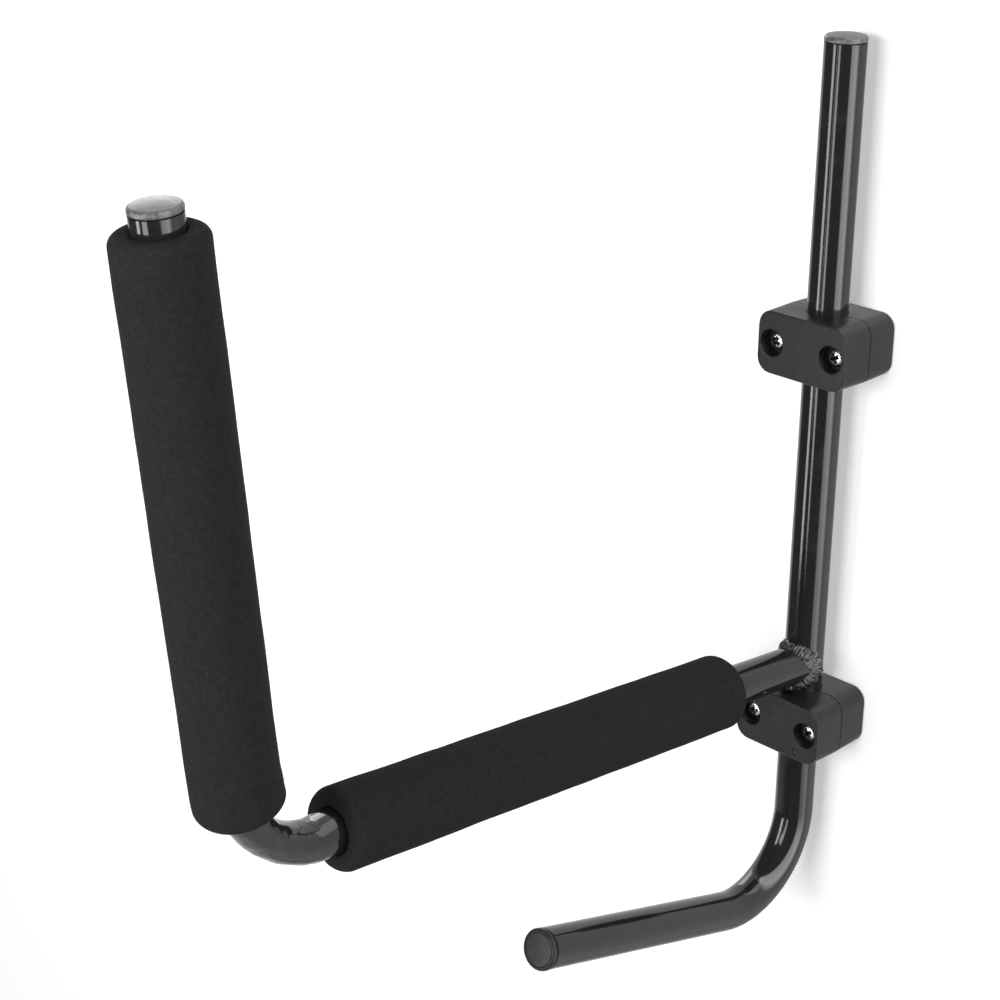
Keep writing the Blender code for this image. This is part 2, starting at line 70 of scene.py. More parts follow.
# The two split clamps. Each is a pair of halves moulded in black glass-filled nylon, from a mould
# with a fine spark-eroded grain, and closes round the upright when its two screws pull it to the
# wall. Relief is in metres, and a noise's scale is in features to the metre, here and below.
CLAMP_HALVES = ("lower_clamp_front", "lower_clamp_rear", "upper_clamp_front", "upper_clamp_rear")
NYLON_BLACK = (0.0108, 0.0108, 0.0113, 1.0)
NYLON_DUSTY = (0.030, 0.030, 0.031, 1.0)
NYLON_SPECULAR = 0.30
NYLON_ROUGHNESS = (0.30, 0.40)
NYLON_GRAIN = 650.0
NYLON_FINE_GRAIN = 2400.0
NYLON_FINE_SHARE = 0.3
NYLON_RELIEF = 0.00022
NYLON_CLOUDS = 70.0
NYLON_CLOUD_SPAN = (0.3, 0.7)
NYLON_DUST = 420.0
NYLON_DUST_SPAN = (0.46, 0.74)
NYLON_SCUFF_SPAN = (0.45, 0.65)
NYLON_SCUFF_DULLING = 0.10
FACET_MERGE = 1e-5
MOULDED_EDGE = radians(34)
GATE_MARK_RADIUS = 0.0023
GATE_MARK_HEIGHT = 0.00045
GATE_MARK_SIDES = 32
# A dimple with a raised ring round it, in shares of the mark's radius and height.
GATE_MARK_PROFILE = (
    (0.0, 0.4),
    (0.45, 0.35),
    (0.6, 0.0),
    (0.75, 0.7),
    (0.88, 1.0),
    (1.0, 0.0),
    (1.0, -1.0),
    (0.0, -1.0),
)
# The lower clamp's mark is right of the middle, near the bottom edge.
GATE_MARK_ACROSS = 0.0155
GATE_MARK_UP = -0.0148


def plug(value, socket):
    """Feeds a node's socket with a wire or with a plain value."""
    if isinstance(value, Wire):
        socket.id_data.links.new(value.socket, socket)
    else:
        socket.default_value = value


class Wire:
    """The output of a shader node. Sums on it, with numbers or other wires, add Math nodes."""

    def __init__(self, socket):
        self.socket = socket

    def maths(self, operation, first, second):
        node = self.socket.id_data.nodes.new("ShaderNodeMath")
        node.operation = operation
        plug(first, node.inputs[0])
        plug(second, node.inputs[1])
        return Wire(node.outputs[0])

    def __add__(self, other):
        return self.maths("ADD", self, other)

    def __radd__(self, other):
        return self.maths("ADD", other, self)

    def __sub__(self, other):
        return self.maths("SUBTRACT", self, other)

    def __rsub__(self, other):
        return self.maths("SUBTRACT", other, self)

    def __mul__(self, other):
        return self.maths("MULTIPLY", self, other)

    def __rmul__(self, other):
        return self.maths("MULTIPLY", other, self)

    def __abs__(self):
        return self.maths("ABSOLUTE", self, 0.0)


class Finish:
    """A material whose nodes are added one at a time round its Principled shader."""

    def __init__(self, name, **constants):
        self.material = bpy.data.materials.new(name)
        self.material.use_nodes = True
        self.tree = self.material.node_tree
        self.shader = self.tree.nodes["Principled BSDF"]
        for socket, value in constants.items():
            self.shader.inputs[socket.replace("_", " ")].default_value = value

    def node(self, kind, settings, sockets, output=None):
        """Adds a node, with its settings first, and returns its first output or the one named."""
        node = self.tree.nodes.new("ShaderNode" + kind)
        for setting, value in settings.items():
            setattr(node, setting, value)
        for key, value in sockets.items():
            plug(value, self.socket(node.inputs, key))
        return Wire(self.socket(node.outputs, output) if output else node.outputs[0])

    def socket(self, sockets, key):
        """The first of a node's sockets with this name or identifier."""
        return next(socket for socket in sockets if key in (socket.identifier, socket.name))

    def place(self):
        """The point's place in the piece's own frame."""
        return self.node("TexCoord", {}, {}, "Object")

    def cloud(self, place, scale, detail=3.0, roughness=0.5):
        """Soft noise from 0 to 1."""
        sockets = {"Vector": place, "Scale": scale, "Detail": detail, "Roughness": roughness}
        return self.node("TexNoise", {}, sockets)

    def between(self, value, low, high, to_low=0.0, to_high=1.0):
        """A value's share of the way from low to high, held to the ends."""
        sockets = {"Value": value, "From Min": low, "From Max": high}
        sockets.update({"To Min": to_low, "To Max": to_high})
        return self.node("MapRange", {"clamp": True}, sockets)

    def blend(self, share, first, second):
        """One colour over another."""
        sockets = {"Factor_Float": share, "A_Color": first, "B_Color": second}
        return self.node("Mix", {"data_type": "RGBA"}, sockets, "Result_Color")

    def bump(self, height, distance, under=None):
        """A relief of this height in metres, on top of another if one is given."""
        sockets = {"Height": height, "Distance": distance}
        if under:
            sockets["Normal"] = under
        return self.node("Bump", {}, sockets)

    def drive(self, **links):
        """Feeds the shader's own sockets."""
        for socket, wire in links.items():
            plug(wire, self.shader.inputs[socket.replace("_", " ")])


def moulded_nylon():
    """Black nylon with a fine grain, cloudy in its gloss and a little dusty."""
    made = Finish("clamp_nylon", Specular_IOR_Level=NYLON_SPECULAR)
    place = made.place()
    grain = (1.0 - NYLON_FINE_SHARE) * made.cloud(place, NYLON_GRAIN)
    grain = grain + NYLON_FINE_SHARE * made.cloud(place, NYLON_FINE_GRAIN, detail=2.0)
    cloud = made.cloud(place, NYLON_CLOUDS, detail=4.0, roughness=0.6)
    dust = made.cloud(place, NYLON_DUST, detail=5.0, roughness=0.7)
    scuffed = made.between(dust, *NYLON_DUST_SPAN) * made.between(cloud, *NYLON_SCUFF_SPAN)
    dull = made.between(cloud, *NYLON_CLOUD_SPAN, *NYLON_ROUGHNESS)
    made.drive(
        Base_Color=made.blend(scuffed, NYLON_BLACK, NYLON_DUSTY),
        Roughness=dull + NYLON_SCUFF_DULLING * scuffed,
        Normal=made.bump(grain, NYLON_RELIEF),
    )
    return made.material


def moulded_edges(piece):
    """Shades a CAD solid's facets smooth, up to its real edges, with flat faces kept flat."""
    group = bpy.data.node_groups.new("moulded_edges", "GeometryNodeTree")
    group.interface.new_socket("Geometry", in_out="INPUT", socket_type="NodeSocketGeometry")
    group.interface.new_socket("Geometry", in_out="OUTPUT", socket_type="NodeSocketGeometry")
    start = group.nodes.new("NodeGroupInput")
    merge = group.nodes.new("GeometryNodeMergeByDistance")
    angle = group.nodes.new("GeometryNodeInputMeshEdgeAngle")
    sharp = group.nodes.new("FunctionNodeCompare")
    shade = group.nodes.new("GeometryNodeSetShadeSmooth")
    normal = group.nodes.new("GeometryNodeSetMeshNormal")
    end = group.nodes.new("NodeGroupOutput")
    merge.inputs["Distance"].default_value = FACET_MERGE
    sharp.inputs["B"].default_value = MOULDED_EDGE
    group.links.new(start.outputs[0], merge.inputs["Geometry"])
    group.links.new(merge.outputs[0], shade.inputs[0])
    group.links.new(shade.outputs[0], normal.inputs[0])
    group.links.new(angle.outputs["Unsigned Angle"], sharp.inputs["A"])
    normal.inputs["Remove Custom"].default_value = True
    group.links.new(sharp.outputs[0], normal.inputs["Edge Sharpness"])
    group.links.new(normal.outputs[0], end.inputs[0])
    piece.modifiers.new("moulded_edges", "NODES").node_group = group
    flat = piece.modifiers.new("flat_faces", "WEIGHTED_NORMAL")
    flat.keep_sharp = True


def skin(name, rings, material, closed=False, crisp=radians(40)):
    """A piece skinned over rings of points. A ring of one point ends it in a tip."""
    shape = bmesh.new()
    loops = [[shape.verts.new(point) for point in ring] for ring in rings]
    pairs = list(zip(loops, loops[1:]))
    if closed:
        pairs.append((loops[-1], loops[0]))
    for first, second in pairs:
        count = max(len(first), len(second))
        for side in range(count):
            after = (side + 1) % count
            corners = [first[side % len(first)], first[after % len(first)]]
            corners += [second[after % len(second)], second[side % len(second)]]
            shape.faces.new(dict.fromkeys(corners))
    bmesh.ops.recalc_face_normals(shape, faces=shape.faces)
    mesh = bpy.data.meshes.new(name)
    shape.to_mesh(mesh)
    shape.free()
    mesh.shade_smooth()
    mesh.set_sharp_from_angle(angle=crisp)
    mesh.materials.append(material)
    piece = bpy.data.objects.new(name, mesh)
    bpy.context.scene.collection.objects.link(piece)
    return piece


def turned(profile, sides):
    """Rings about the Z axis from (radius, height) points. A radius of zero is a single point."""
    rings = []
    for radius, height in profile:
        angles = [2.0 * pi * side / sides for side in range(sides if radius else 1)]
        rings.append([Vector((radius * sin(a), -radius * cos(a), height)) for a in angles])
    return rings


nylon = moulded_nylon()
for name in CLAMP_HALVES:
    half = frame["nodes"][name]
    half.material_slots[0].material = nylon
    moulded_edges(half)

clamp_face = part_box("lower_clamp_front")[0].y
mark_profile = [(r * GATE_MARK_RADIUS, h * GATE_MARK_HEIGHT) for r, h in GATE_MARK_PROFILE]
gate_mark = skin("lower_clamp_gate_mark", turned(mark_profile, GATE_MARK_SIDES), nylon)
facing_out = Matrix.Rotation(pi / 2, 4, "X")
mark_place = Matrix.Translation((GATE_MARK_ACROSS, clamp_face, GATE_MARK_UP))
gate_mark.matrix_world = mark_place @ facing_out
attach(gate_mark, "wall_clamps")

# The four wall screws. They are cold-headed steel with a pan head, a cross recess and a rolled
# wood thread, plated with bright zinc, and their heads sit deep in the clamps' round pockets.
SCREW_TURNS = {
    "lower_screw_left": radians(12),
    "lower_screw_right": radians(38),
    "upper_screw_left": radians(64),
    "upper_screw_right": radians(27),
}
HEAD_RADIUS = 0.0058
HEAD_HEIGHT = 0.0044
HEAD_RIM = 0.0015
HEAD_DOME_STEPS = 12
# The head's underside is chamfered, in shares of its radius.
HEAD_CHAMFER = (0.97, 0.93)
HEAD_CHAMFER_HEIGHT = 0.0002
HEAD_EDGE = radians(35)
THREAD_CREST = 0.0030
THREAD_ROOT = 0.0021
THREAD_PITCH = 0.0024
THREAD_FLANK = 0.3
THREAD_STEPS = 8
THREAD_SIDES = 32
PLAIN_SHANK = 0.0240
SCREW_POINT = 0.0090
CROSS_LONG = 0.0038
CROSS_SHORT = 0.0012
CROSS_CORNER = 1.3
CROSS_DEPTH = 0.0028
CROSS_TAPER = 0.55
CROSS_FLARE = 1.15
CROSS_SHORT_FIXED = 0.6
SLIVER = 5e-6
ZINC = (0.85, 0.86, 0.87, 1.0)
ZINC_DULL = (0.34, 0.34, 0.35, 1.0)
ZINC_ROUGHNESS = 0.15
ZINC_SPOTS = 900.0
ZINC_SPOT_SPAN = (0.5, 0.7)
ZINC_SPOT_DULLING = 0.20
ZINC_LINES = 3000.0
ZINC_RELIEF = 0.00012
# A near-black base colour painted into the cross recess as its shade.
RECESS_PAINTED_SHADE = (0.03, 0.03, 0.03, 1.0)
# The painted shade in the recess stops just inside the slots' sides and ends, in shares of the
# cross's half sizes.
RECESS_SHADE_SIDE = (0.8, 1.0)
RECESS_SHADE_END = (0.8, 0.9)


def bright_zinc():
    """Bright zinc plate with polishing lines and duller spots, and painted shade inside the cross
    recess.
    """
    made = Finish("screw_zinc_plate", Metallic=1.0)
    place = made.place()
    spots = made.cloud(place, ZINC_SPOTS, detail=4.0, roughness=0.6)
    spots = made.between(spots, *ZINC_SPOT_SPAN)
    lines = made.cloud(place, ZINC_LINES, detail=2.0)
    x, y = (abs(made.node("SeparateXYZ", {}, {"Vector": place}, axis)) for axis in "XY")
    sides = (CROSS_SHORT * share for share in RECESS_SHADE_SIDE)
    ends = (CROSS_LONG * share for share in RECESS_SHADE_END)
    # Masks for the painted shade: inside the slots, and short of their ends.
    shade_in_slot = made.between(x.maths("MINIMUM", x, y), *sides, 1.0, 0.0)
    shade_in_reach = made.between(x.maths("MAXIMUM", x, y), *ends, 1.0, 0.0)
    plate = made.blend(spots, ZINC, ZINC_DULL)
    made.drive(
        Base_Color=made.blend(shade_in_slot * shade_in_reach, plate, RECESS_PAINTED_SHADE),
        Roughness=ZINC_ROUGHNESS + ZINC_SPOT_DULLING * spots,
        Normal=made.bump(lines, ZINC_RELIEF),
    )
    return made.material


def screw_rings(length):
    """A screw along Z with its head's underside at zero, its head up and its point down."""
    profile = [(0.0, HEAD_HEIGHT)]
    for step in range(1, HEAD_DOME_STEPS + 1):
        angle = 0.5 * pi * step / HEAD_DOME_STEPS
        rise = (HEAD_HEIGHT - HEAD_RIM) * cos(angle)
        profile.append((HEAD_RADIUS * sin(angle), HEAD_RIM + rise))
    upper, lower = HEAD_CHAMFER
    profile.append((HEAD_RADIUS * upper, HEAD_CHAMFER_HEIGHT))
    profile += [(HEAD_RADIUS * lower, 0.0), (THREAD_CREST, 0.0)]
    rings = turned(profile, THREAD_SIDES)
    steps = int((length - PLAIN_SHANK) / THREAD_PITCH * THREAD_STEPS)
    for step in range(steps):
        depth = PLAIN_SHANK + step * THREAD_PITCH / THREAD_STEPS
        to_tip = min((length - depth) / SCREW_POINT, 1.0)
        ring = []
        for side in range(THREAD_SIDES):
            turn = side / THREAD_SIDES
            phase = (step / THREAD_STEPS + turn) % 1.0
            ridge = max(0.0, 1.0 - abs(phase - 0.5) / THREAD_FLANK)
            # The thread rises out of the shank over its first turn.
            ridge *= min(1.0, step / THREAD_STEPS)
            radius = to_tip * (THREAD_ROOT + (THREAD_CREST - THREAD_ROOT) * ridge)
            if step == 0:
                radius = THREAD_CREST
            angle = 2.0 * pi * turn
            ring.append(Vector((radius * sin(angle), -radius * cos(angle), -depth)))
        rings.append(ring)
    rings.append([Vector((0.0, 0.0, -length))])
    return rings


def cross_rings():
    """The driver's cross recess, narrower towards its floor."""
    floor = HEAD_HEIGHT - CROSS_DEPTH
    rings = [[Vector((0.0, 0.0, floor - CROSS_SHORT))]]
    for height, share in ((floor, CROSS_TAPER), (HEAD_HEIGHT + CROSS_SHORT, CROSS_FLARE)):
        long = CROSS_LONG * share
        short = CROSS_SHORT * (CROSS_SHORT_FIXED + (1.0 - CROSS_SHORT_FIXED) * share)
        corner = short * CROSS_CORNER
        ring = []
        for quarter in range(4):
            turn = Matrix.Rotation(0.5 * pi * quarter, 3, "Z")
            for x, y in ((long, -short), (long, short), (corner, corner)):
                ring.append(turn @ Vector((x, y, height)))
        rings.append(ring)
    rings.append([Vector((0.0, 0.0, HEAD_HEIGHT + 2 * CROSS_SHORT))])
    return rings


def close_slivers(mesh):
    """Closes up the hair-thin faces that a cut leaves along its rim."""
    shape = bmesh.new()
    shape.from_mesh(mesh)
    bmesh.ops.triangulate(shape, faces=shape.faces)
    bmesh.ops.remove_doubles(shape, verts=shape.verts, dist=SLIVER)
    bmesh.ops.dissolve_degenerate(shape, edges=shape.edges, dist=SLIVER)
    shape.to_mesh(mesh)
    shape.free()


zinc = bright_zinc()
cross = skin("cross_cutter", cross_rings(), zinc)
for name, turn in SCREW_TURNS.items():
    low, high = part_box(name)
    # The CAD screw's head faces -Y, and its place gives the new one's seat and length.
    seat = low.y + HEAD_HEIGHT
    middle = (low + high) / 2
    place = Matrix.Translation((middle.x, seat, middle.z)) @ facing_out
    screw = skin(name + "_plated", screw_rings(high.y - seat), zinc)
    cross.matrix_world = screw.matrix_world
    recess = screw.modifiers.new("cross_recess", "BOOLEAN")
    recess.operation = "DIFFERENCE"
    recess.solver = "EXACT"
    recess.object = cross
    bpy.context.view_layer.update()
    shown = screw.evaluated_get(bpy.context.evaluated_depsgraph_get())
    cut = bpy.data.meshes.new_from_object(shown)
    screw.modifiers.clear()
    screw.data = cut
    close_slivers(cut)
    cut.set_sharp_from_angle(angle=HEAD_EDGE)
    screw.matrix_world = place @ Matrix.Rotation(turn, 4, "Z")
    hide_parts(name)
    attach(screw, "wall_clamps")
bpy.data.objects.remove(cross)

# The upright. One length of steel tube, bent at its foot into the lower hook's leg, and sprayed
# with gloss black enamel, which has a faint orange peel and settles in soft waves.
TUBE_WALL = 0.0020
TUBE_SIDES = 96
BEND_STEPS = 72
STRAIGHT_PITCH = 0.0120
FOOT_BELOW_CLAMP = 0.1425
FOOT_BEND_RADIUS = 0.0540
LEG_RISE = radians(16.5)
LEG_LENGTH = 0.2470
ENAMEL_BLACK = (0.0135, 0.0135, 0.0140, 1.0)
ENAMEL_DUSTY = (0.030, 0.030, 0.031, 1.0)
ENAMEL_ROUGHNESS = 0.10
ENAMEL_WAVES = 28.0
ENAMEL_PEEL = 260.0
ENAMEL_PEEL_SHARE = 0.15
ENAMEL_RELIEF = 0.00012
ENAMEL_NIBS = 1500.0
ENAMEL_NIB_SPAN = (0.72, 0.80)
ENAMEL_NIB_DULLING = 0.10
ENAMEL_NIB_RELIEF = 0.00003
ENAMEL_RUBS = 55.0
ENAMEL_RUB_SPAN = (0.52, 0.72)
ENAMEL_RUB_DULLING = 0.07
upright_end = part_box("upright_tube")[1]
TUBE_RADIUS = upright_end.x
BORE_RADIUS = TUBE_RADIUS - TUBE_WALL
SWIVEL_Y = frame["joints"][0]["pos_m"][1]


class Bend:
    """The middle line of a tube with one bend, in the Y-Z plane, measured by length from its start.

    A heading of zero runs towards -Y, and a quarter turn of heading runs towards +Z.
    """

    def __init__(self, start, heading, before, radius, turn, after):
        self.start = start
        self.heading = heading
        self.radius = radius
        self.bend_start = before
        self.bend_end = before + radius * turn
        self.length = self.bend_end + after

    def axes(self, distance):
        """The point there, and the directions forward and to the bend's outside."""
        before = min(distance, self.bend_start)
        within = min(max(distance, self.bend_start), self.bend_end) - self.bend_start
        after = max(distance - self.bend_end, 0.0)
        heading = self.heading + within / self.radius
        y = self.start[0] - before * cos(self.heading) - after * cos(heading)
        z = self.start[1] + before * sin(self.heading) + after * sin(heading)
        y += self.radius * (sin(self.heading) - sin(heading))
        z += self.radius * (cos(self.heading) - cos(heading))
        forward = Vector((0.0, -cos(heading), sin(heading)))
        outward = Vector((0.0, -sin(heading), -cos(heading)))
        return Vector((0.0, y, z)), forward, outward

    def stops(self, first, last, pitch):
        """Stops from first to last at about this pitch, and at every step of the bend between."""
        count = max(2, round((last - first) / pitch))
        even = [first + (last - first) * step / count for step in range(1, count)]
        bend = self.bend_end - self.bend_start
        bent = [self.bend_start + bend * step / BEND_STEPS for step in range(BEND_STEPS + 1)]
        near = pitch / 2
        straight = [s for s in even if not self.bend_start - near < s < self.bend_end + near]
        inner = sorted(straight + [s for s in bent if first + near / 2 < s < last - near / 2])
        return [first] + inner + [last]

    def ring(self, distance, reach):
        """A ring round the line there, with a reach outward and sideways for each angle."""
        point, forward, outward = self.axes(distance)
        ring = []
        for side in range(TUBE_SIDES):
            angle = 2.0 * pi * side / TUBE_SIDES
            out, across = reach(angle)
            sideways = Vector((across * sin(angle), 0.0, 0.0))
            ring.append(point + out * cos(angle) * outward + sideways)
        return ring


def round_reach(radius):
    """The reach of a plain round ring."""
    return lambda angle: (radius, radius)


def gloss_enamel():
    """Sprayed black enamel: sharp reflections, a faint orange peel, dust nibs and light rubs."""
    made = Finish("tube_enamel_black")
    place = made.place()
    waves = (1.0 - ENAMEL_PEEL_SHARE) * made.cloud(place, ENAMEL_WAVES, detail=2.0)
    waves = waves + ENAMEL_PEEL_SHARE * made.cloud(place, ENAMEL_PEEL, detail=2.0)
    nibs = made.between(made.cloud(place, ENAMEL_NIBS, detail=2.0), *ENAMEL_NIB_SPAN)
    rub = made.cloud(place, ENAMEL_RUBS, detail=5.0, roughness=0.65)
    rub = made.between(rub, *ENAMEL_RUB_SPAN)
    made.drive(
        Base_Color=made.blend(0.5 * rub + 0.5 * nibs, ENAMEL_BLACK, ENAMEL_DUSTY),
        Roughness=ENAMEL_ROUGHNESS + ENAMEL_RUB_DULLING * rub + ENAMEL_NIB_DULLING * nibs,
        Normal=made.bump(nibs, ENAMEL_NIB_RELIEF, made.bump(waves, ENAMEL_RELIEF)),
    )
    return made.material


enamel = gloss_enamel()
foot_turn = pi / 2 + LEG_RISE
foot_tangent = FOOT_BEND_RADIUS * tan(foot_turn / 2)
straight = upright_end.z + FOOT_BELOW_CLAMP - foot_tangent
leg = LEG_LENGTH - foot_tangent
top = (SWIVEL_Y, upright_end.z)
upright_line = Bend(top, -pi / 2, straight, FOOT_BEND_RADIUS, foot_turn, leg)
stops = upright_line.stops(0.0, upright_line.length, STRAIGHT_PITCH)
outside = [upright_line.ring(stop, round_reach(TUBE_RADIUS)) for stop in stops]
inside = [upright_line.ring(stop, round_reach(BORE_RADIUS)) for stop in reversed(stops)]
upright = skin("upright_tube_enamelled", outside + inside, enamel, closed=True)
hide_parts("upright_tube")
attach(upright, "swing_arm")

# The arm and post. One more length of the same tube, coped to sit round the upright, pressed into
# a tight elbow that left its inside flattened, and enamelled together with the upright.
SEAT_GAP = 0.0003
ARM_HEIGHT = 0.03699
ARM_RISE = radians(5.5)
POST_LEAN = radians(5.5)
ARM_LENGTH = 0.4545
POST_LENGTH = 0.3431
ELBOW_RADIUS = 0.0540
FLATTENED_OUTSIDE = 0.0018
FLATTENED_INSIDE = 0.0022
WIDENED = 0.0010
RUNOUT = 0.0120
WRINKLE = 0.00030
WRINKLE_SCALE = 150.0
FINE_WRINKLE = 0.5
FINE_WRINKLE_RATIO = 2.3

elbow_turn = pi / 2 - ARM_RISE - POST_LEAN
elbow_tangent = ELBOW_RADIUS * tan(elbow_turn / 2)
arm_straight = ARM_LENGTH - elbow_tangent
post_straight = POST_LENGTH - elbow_tangent
root = (SWIVEL_Y, ARM_HEIGHT)
arm_line = Bend(root, ARM_RISE, arm_straight, ELBOW_RADIUS, elbow_turn, post_straight)


def squeeze_fade(distance):
    """How fully the elbow's squeeze is there: all along the bend, and fading past its ends."""
    beyond = max(arm_line.bend_start - distance, distance - arm_line.bend_end, 0.0)
    return 0.5 + 0.5 * cos(pi * min(beyond / RUNOUT, 1.0))


def pressed_reach(distance, radius):
    """The reach of a ring of the arm's tube, squeezed where the elbow was pressed."""
    share = (distance - arm_line.bend_start) / (arm_line.bend_end - arm_line.bend_start)
    outside = FLATTENED_OUTSIDE * sin(pi * min(max(share, 0.0), 1.0))
    fade = squeeze_fade(distance)

    def reach(angle):
        flatter = outside if cos(angle) > 0.0 else FLATTENED_INSIDE * fade
        return radius - flatter, radius + WIDENED * fade

    return reach


def coped_ring(radius):
    """The arm's first ring, where its wall meets the upright's skin."""
    point, forward, outward = arm_line.axes(0.0)
    ring = []
    for side in range(TUBE_SIDES):
        angle = 2.0 * pi * side / TUBE_SIDES
        across = radius * sin(angle)
        out = radius * cos(angle)
        reach = sqrt((TUBE_RADIUS + SEAT_GAP) ** 2 - across**2)
        along = (reach - out * sin(ARM_RISE)) / cos(ARM_RISE)
        ring.append(point + along * forward + out * outward + Vector((across, 0.0, 0.0)))
    return ring


def wrinkled(distance, ring):
    """The ring with the faint waves that the press left in the elbow's skin."""
    middle = arm_line.axes(distance)[0]
    fade = squeeze_fade(distance)
    moved = []
    for point in ring:
        wave = noise.noise(point * WRINKLE_SCALE)
        wave += FINE_WRINKLE * noise.noise(point * FINE_WRINKLE_RATIO * WRINKLE_SCALE)
        moved.append(point + WRINKLE * fade * wave * (point - middle).normalized())
    return moved


# The first plain ring is clear of the upright, and the coped one reaches back from it.
stops = arm_line.stops(2.0 * TUBE_RADIUS, arm_line.length, STRAIGHT_PITCH)
outside = [arm_line.ring(stop, pressed_reach(stop, TUBE_RADIUS)) for stop in stops]
outside = [wrinkled(stop, ring) for stop, ring in zip(stops, outside)]
inside = [arm_line.ring(stop, pressed_reach(stop, BORE_RADIUS)) for stop in reversed(stops)]
arm_rings = [coped_ring(TUBE_RADIUS)] + outside + inside + [coped_ring(BORE_RADIUS)]
arm = skin("arm_tube_enamelled", arm_rings, enamel, closed=True)
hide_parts("arm_tube")
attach(arm, "swing_arm")

# The weld that joins the arm to the upright. A hand-run bead round the cope, with the overlapping
# ripples of its pool, under the same enamel, which is thinner and duller on it.
BEAD_LEG = 0.0049
BEAD_TOP_LEG = 0.0040
BEAD_SIDE = 0.0030
BEAD_SETBACK = 0.0060
BEAD_STEPS = 480
BEAD_SIDES = 28
BEAD_RIPPLES = 44
BEAD_RIPPLE = 0.00060
BEAD_JITTER = 1.8
BEAD_JITTER_SCALE = 260.0
BEAD_BOW = 0.45
BEAD_ROUGH = 0.00120
BEAD_ROUGH_SCALE = 420.0
BEAD_WIDER_SIDE = 2.4
BEAD_FLATTER_SIDE = 0.62
BEAD_SUNK = 0.0002
BEAD_CREASE = radians(80)
BEAD_BLACK = (0.016, 0.016, 0.017, 1.0)
BEAD_GREY = (0.095, 0.092, 0.090, 1.0)
BEAD_ROUGHNESS = 0.10
BEAD_GRAIN = 1300.0
BEAD_RELIEF = 0.00025
WELD_SCALE = 900.0
WELD_SCALE_SPAN = (0.5, 0.72)
WELD_SCALE_DULLING = 0.2


def welded_enamel():
    """Enamel over a weld: glossy on the ripples' crests, with duller scale between them."""
    made = Finish("weld_enamel_black")
    place = made.place()
    scale = made.cloud(place, WELD_SCALE, detail=4.0, roughness=0.6)
    scale = made.between(scale, *WELD_SCALE_SPAN)
    made.drive(
        Base_Color=made.blend(scale, BEAD_BLACK, BEAD_GREY),
        Roughness=BEAD_ROUGHNESS + WELD_SCALE_DULLING * scale,
        Normal=made.bump(made.cloud(place, BEAD_GRAIN), BEAD_RELIEF),
    )
    return made.material


def held_out(point, root, axis, radius):
    """The point, moved out to this radius from an axis where it is nearer than that."""
    from_axis = point - root - axis * (point - root).dot(axis)
    return point + from_axis.normalized() * max(0.0, radius - from_axis.length)


def bead_rings():
    """Rings of the bead along the cope, rippled and rough, and sunk a little into both tubes."""
    root, forward, outward = arm_line.axes(0.0)
    sunk = TUBE_RADIUS - BEAD_SUNK
    angles = [2.0 * pi * step / BEAD_STEPS for step in range(BEAD_STEPS)]
    line = []
    for angle in angles:
        up = TUBE_RADIUS * cos(angle)
        front = sqrt(up**2 + BEAD_SETBACK**2)
        along = (up * sin(ARM_RISE) + front) / cos(ARM_RISE)
        height = along * sin(ARM_RISE) + up * cos(ARM_RISE)
        line.append(Vector((TUBE_RADIUS * sin(angle), -front, height)))
    rings = []
    for step, (angle, point) in enumerate(zip(angles, line)):
        travel = (line[(step + 1) % BEAD_STEPS] - line[step - 1]).normalized()
        away = (point - travel * point.dot(travel)).normalized()
        across = travel.cross(away)
        leg = BEAD_TOP_LEG if cos(angle) > 0.0 else BEAD_LEG
        full = BEAD_SIDE + (leg - BEAD_SIDE) * cos(angle) ** 2
        # Along the sides the tubes run flush, and the bead spreads out flat over both.
        flush = sin(angle) ** 2
        high = 1.0 + (BEAD_FLATTER_SIDE - 1.0) * flush
        wide = 1.0 + (BEAD_WIDER_SIDE - 1.0) * flush
        ring = []
        for side in range(BEAD_SIDES):
            turn = 2.0 * pi * side / BEAD_SIDES
            direction = high * cos(turn) * away + wide * sin(turn) * across
            # Each ripple is a bow, its middle ahead of its ends, as the pool froze.
            phase = BEAD_RIPPLES * angle / (2.0 * pi) + BEAD_BOW * cos(turn)
            phase += BEAD_JITTER * noise.noise(point * BEAD_JITTER_SCALE)
            ripple = BEAD_RIPPLE * (abs(sin(pi * phase)) - 1.0)
            rough = BEAD_ROUGH * noise.noise((point + full * direction) * BEAD_ROUGH_SCALE)
            place = root + point + (full + ripple + rough) * direction
            place = held_out(place, root, Vector((0.0, 0.0, 1.0)), sunk)
            ring.append(held_out(place, root, forward, sunk))
        rings.append(ring)
    return rings


weld_rings = bead_rings()
bead = skin("weld_bead_rippled", weld_rings, welded_enamel(), closed=True, crisp=BEAD_CREASE)
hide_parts("weld_bead")
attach(bead, "swing_arm")

# The end caps. Moulded in soft black plastic and pushed into the tubes' ends by their ribbed
# stems. The two tops have a low dome, and the leg's has a flat turned face with a rim groove.
CAP_SIDES = 96
CAP_OVERHANG = 0.00015
CAP_RIM = 0.0038
CAP_EDGE = 0.0020
CAP_UNDERCUT = 0.0007
CAP_EDGE_STEPS = 8
CAP_CROWN = 0.0009
CAP_CROWN_STEPS = 10
CAP_STEM = 0.0150
CAP_STEM_WALL = 0.0016
CAP_RIB = 0.0008
CAP_RIB_WIDTH = 0.0020
CAP_RIBS = 3
LEG_CAP_CROWN = 0.0004
LEG_GROOVE_INSET = 0.0022
LEG_GROOVE = 0.0005
# The groove's section, in shares of its half width and depth, from its outer edge inward.
LEG_GROOVE_SECTION = ((1.0, 0.0), (0.6, 0.55), (0.0, 1.0), (-0.6, 0.55), (-1.0, 0.0))
